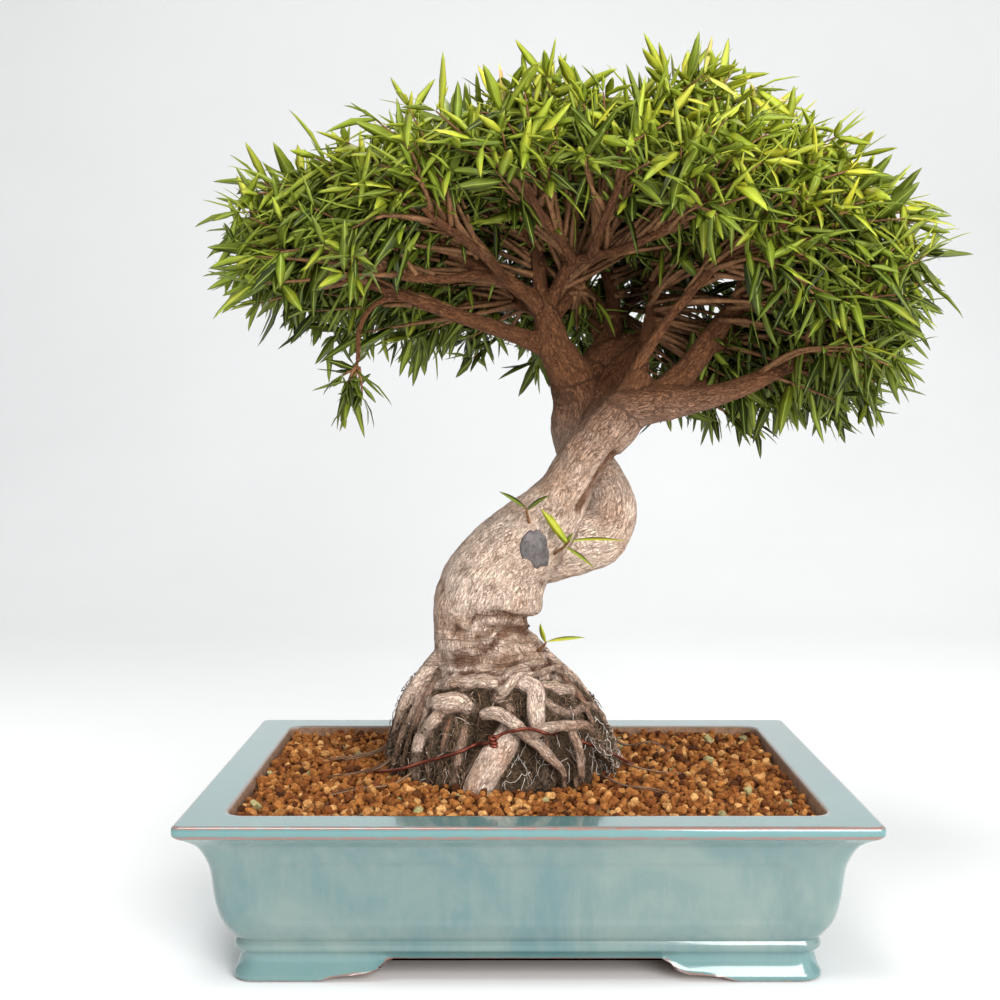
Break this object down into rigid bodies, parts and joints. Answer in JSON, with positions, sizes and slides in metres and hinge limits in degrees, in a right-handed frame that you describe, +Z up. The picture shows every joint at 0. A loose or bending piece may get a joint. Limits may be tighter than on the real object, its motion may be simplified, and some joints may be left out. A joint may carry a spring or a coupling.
{
  "type": "ficus neriifolia bonsai in a glazed rectangular pot",
  "caption": "Willow-leaved ficus bonsai with a twisted trunk, exposed roots and a wide leafy crown, planted in grit in a turquoise glazed rectangular pot.",
  "frame": {"origin": "on the ground under the middle of the whole outline, crown included; the pot's own middle stands 41 mm to the left of it and 9 mm in front of it", "axes": "+Z up; +X to the viewer's right along the pot's long side; +Y away from the viewer"},
  "size_m": [0.4909, 0.3401, 0.5502],
  "materials": {
    "glaze": "glossy turquoise glaze that breaks brown on its edges",
    "clay_grit": "loose matte grains of fired clay",
    "bark": "matte wrinkled bark",
    "leaves": "waxy leaf",
    "young_leaves": "waxy young leaf",
    "copper_wire": "dull copper",
    "cut_paste": "matte putty",
    "mesh_plastic": "matte"
  },
  "bodies": {
    "root": {"pot": "glaze", "soil": "clay_grit", "trunk": "bark", "anchor_wire": "copper_wire", "wound_seal": "cut_paste", "drain_mesh_left": "mesh_plastic", "drain_mesh_right": "mesh_plastic", "trunk_sprout_1": "young_leaves", "trunk_sprout_2": "young_leaves", "trunk_sprout_3": "young_leaves", "leaf_spray_01": "leaves", "leaf_spray_02": "leaves", "leaf_spray_03": "leaves", "leaf_spray_04": "leaves", "leaf_spray_05": "leaves", "leaf_spray_06": "leaves", "leaf_spray_07": "leaves", "leaf_spray_08": "leaves", "leaf_spray_09": "leaves", "leaf_spray_10": "leaves", "leaf_spray_11": "leaves", "leaf_spray_12": "leaves", "leaf_spray_13": "leaves", "leaf_spray_14": "leaves", "leaf_spray_15": "leaves", "leaf_spray_16": "leaves", "leaf_spray_17": "leaves", "leaf_spray_18": "leaves", "leaf_spray_19": "leaves", "leaf_spray_20": "leaves", "leaf_spray_21": "leaves", "leaf_spray_22": "leaves", "leaf_spray_23": "leaves", "leaf_spray_24": "leaves", "leaf_spray_25": "leaves", "leaf_spray_26": "leaves", "leaf_spray_27": "leaves", "leaf_spray_28": "leaves", "leaf_spray_29": "leaves", "leaf_spray_30": "leaves", "leaf_spray_31": "leaves", "leaf_spray_32": "leaves", "leaf_spray_33": "leaves", "leaf_spray_34": "leaves", "leaf_spray_35": "leaves", "leaf_spray_36": "leaves", "leaf_spray_37": "leaves", "leaf_spray_38": "leaves", "leaf_spray_39": "leaves"}
  },
  "joints": []
}
